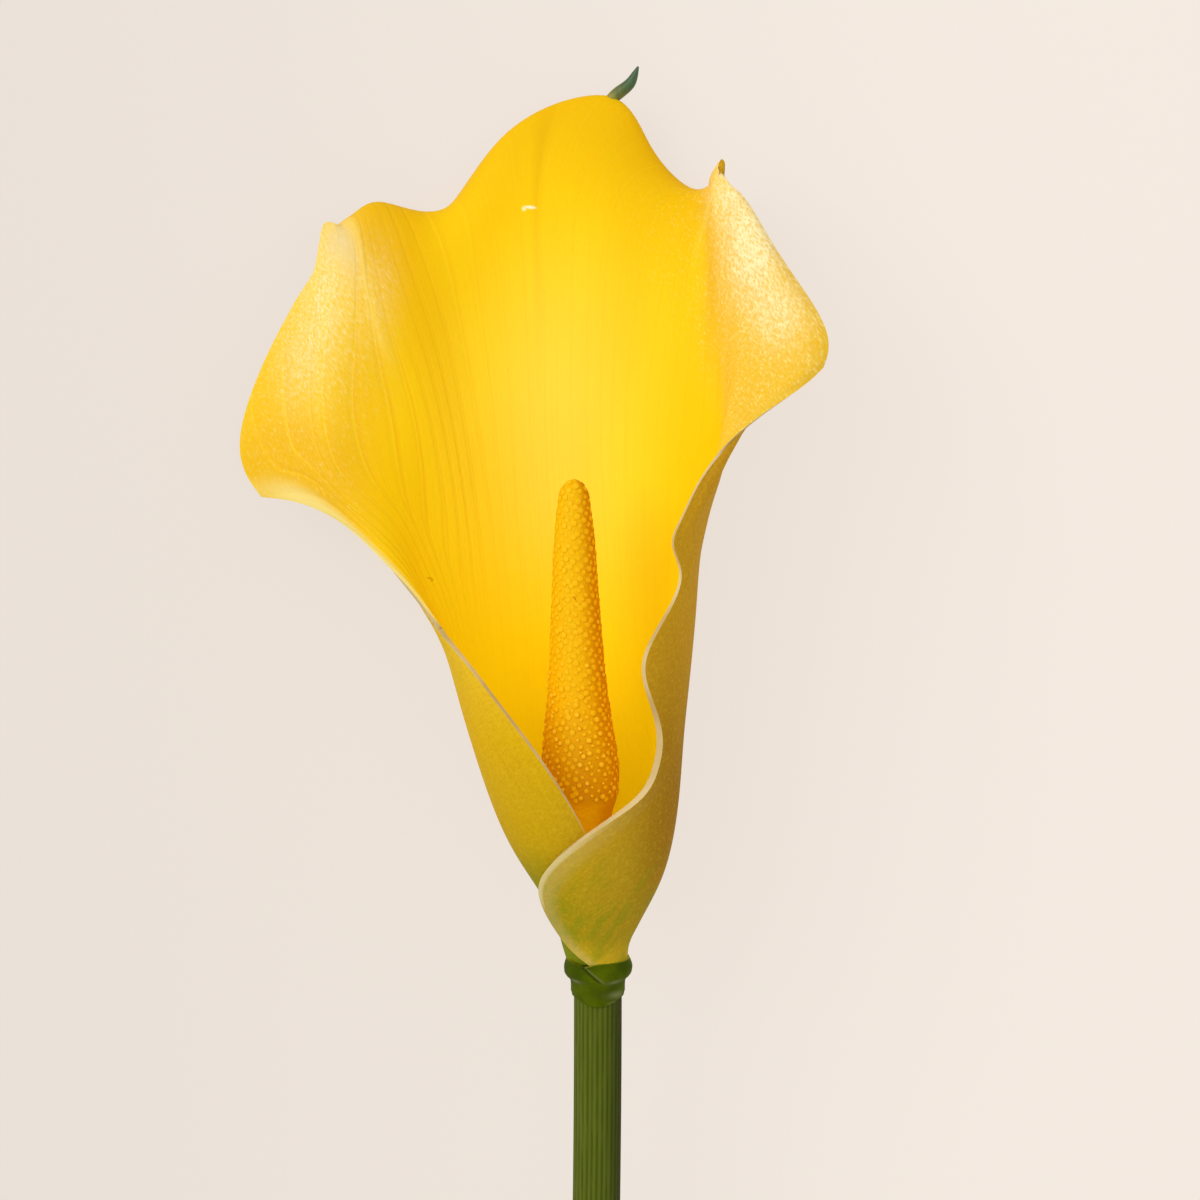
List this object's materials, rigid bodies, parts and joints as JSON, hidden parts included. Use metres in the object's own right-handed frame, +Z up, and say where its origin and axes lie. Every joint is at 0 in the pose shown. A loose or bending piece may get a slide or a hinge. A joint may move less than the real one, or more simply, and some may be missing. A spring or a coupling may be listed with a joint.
{
  "type": "calla lily flower",
  "caption": "Cut yellow calla lily lying on its back: a waved trumpet rolled round an orange column, on a ribbed green stem.",
  "frame": {"origin": "on the surface that the flower lies on, under the middle of its length and width", "axes": "+Y from the stem's cut end towards the flower's tip, +Z up out of the flower's open front, +X to the flower's right as seen from above with the tip away from the viewer"},
  "size_m": [0.0834, 0.2846, 0.0384],
  "materials": {
    "stem": "green ribbed plant stem, satin, with a darker smooth collar",
    "spathe": "yellow petal, satin, olive to gold outside, green horn at the tip",
    "spadix": "orange column covered in small matt florets"
  },
  "bodies": {
    "root": {"stem": "stem", "spathe": "spathe", "spadix": "spadix"}
  },
  "joints": []
}
